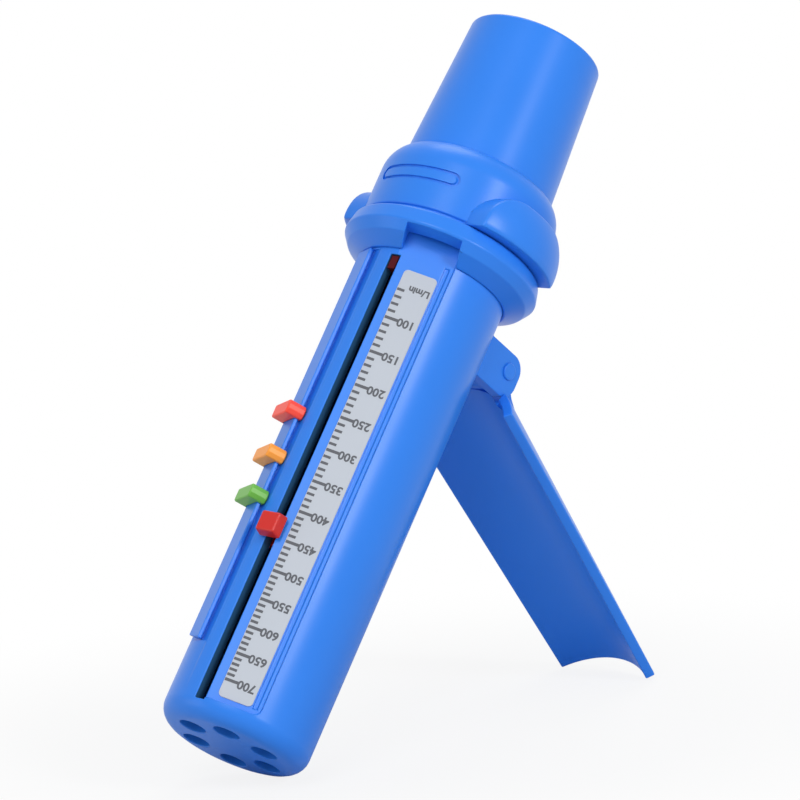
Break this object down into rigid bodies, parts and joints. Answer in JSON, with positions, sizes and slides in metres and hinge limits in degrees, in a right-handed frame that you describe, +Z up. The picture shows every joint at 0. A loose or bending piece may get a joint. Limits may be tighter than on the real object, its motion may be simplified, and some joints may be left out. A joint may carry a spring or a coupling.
{
  "type": "peak flow meter",
  "caption": "Hand-held mechanical peak flow meter: slotted tube with scale, pointer and zone markers, pull-off mouthpiece and a fold-out handle.",
  "frame": {"origin": "on the floor, under the middle of the object's box, with the handle open and the meter standing on it", "axes": "+Z up, +Y from the barrel's vented end towards the handle's foot, +X to the right seen from the slotted front"},
  "size_m": [0.0498, 0.1378, 0.1527],
  "materials": {
    "blue_plastic": "semi-gloss moulded polypropylene",
    "label_sheet": "printed satin label",
    "marker_red": "moulded",
    "marker_yellow": "moulded",
    "marker_green": "moulded",
    "pointer_red": "moulded",
    "piston_plastic": "moulded",
    "bush_white": "natural acetal",
    "rod_steel": "ground stainless",
    "spring_steel": "drawn wire",
    "seal_rubber": "moulded"
  },
  "bodies": {
    "barrel": {"body_tube": "blue_plastic", "inlet_head": "blue_plastic", "scale_label": "label_sheet", "hinge_pin": "blue_plastic", "guide_rod": "rod_steel", "head_seal": "seal_rubber", "rod_spider": "bush_white", "rod_clip": "rod_steel", "spring_anchor": "rod_steel", "end_bumper": "seal_rubber", "return_spring": "spring_steel"},
    "mouthpiece_body": {"mouthpiece": "blue_plastic"},
    "handle_body": {"handle": "blue_plastic"},
    "piston": {"piston_disc": "piston_plastic", "piston_bush": "bush_white", "piston_tab": "piston_plastic"},
    "pointer": {"pointer_knob": "pointer_red", "pointer_shoe": "pointer_red"},
    "red_marker": {"marker_red": "marker_red"},
    "yellow_marker": {"marker_yellow": "marker_yellow"},
    "green_marker": {"marker_green": "marker_green"}
  },
  "joints": [
    {"name": "handle_fold", "type": "hinge", "parent": "barrel", "child": "handle_body", "pos_m": [0, 0.02493, 0.0762], "axis": [1, 0, 0], "range_deg": [-71, 0]},
    {"name": "mouthpiece_pull", "type": "slide", "parent": "barrel", "child": "mouthpiece_body", "axis": [0, 0.629, 0.7774], "range_m": [0, 0.025]},
    {"name": "piston_slide", "type": "slide", "parent": "barrel", "child": "piston", "axis": [0, -0.629, -0.7774], "range_m": [0, 0.0604], "stiffness_N_per_m": 3, "springref_m": -0.03, "deforming": ["return_spring"]},
    {"name": "pointer_slide", "type": "slide", "parent": "barrel", "child": "pointer", "axis": [0, -0.629, -0.7774], "range_m": [-0.06, 0.033]},
    {"name": "red_marker_slide", "type": "slide", "parent": "barrel", "child": "red_marker", "axis": [0, -0.629, -0.7774], "range_m": [-0.038, 0.0069]},
    {"name": "yellow_marker_slide", "type": "slide", "parent": "barrel", "child": "yellow_marker", "axis": [0, -0.629, -0.7774], "range_m": [-0.0069, 0.006]},
    {"name": "green_marker_slide", "type": "slide", "parent": "barrel", "child": "green_marker", "axis": [0, -0.629, -0.7774], "range_m": [-0.006, 0.03]}
  ]
}
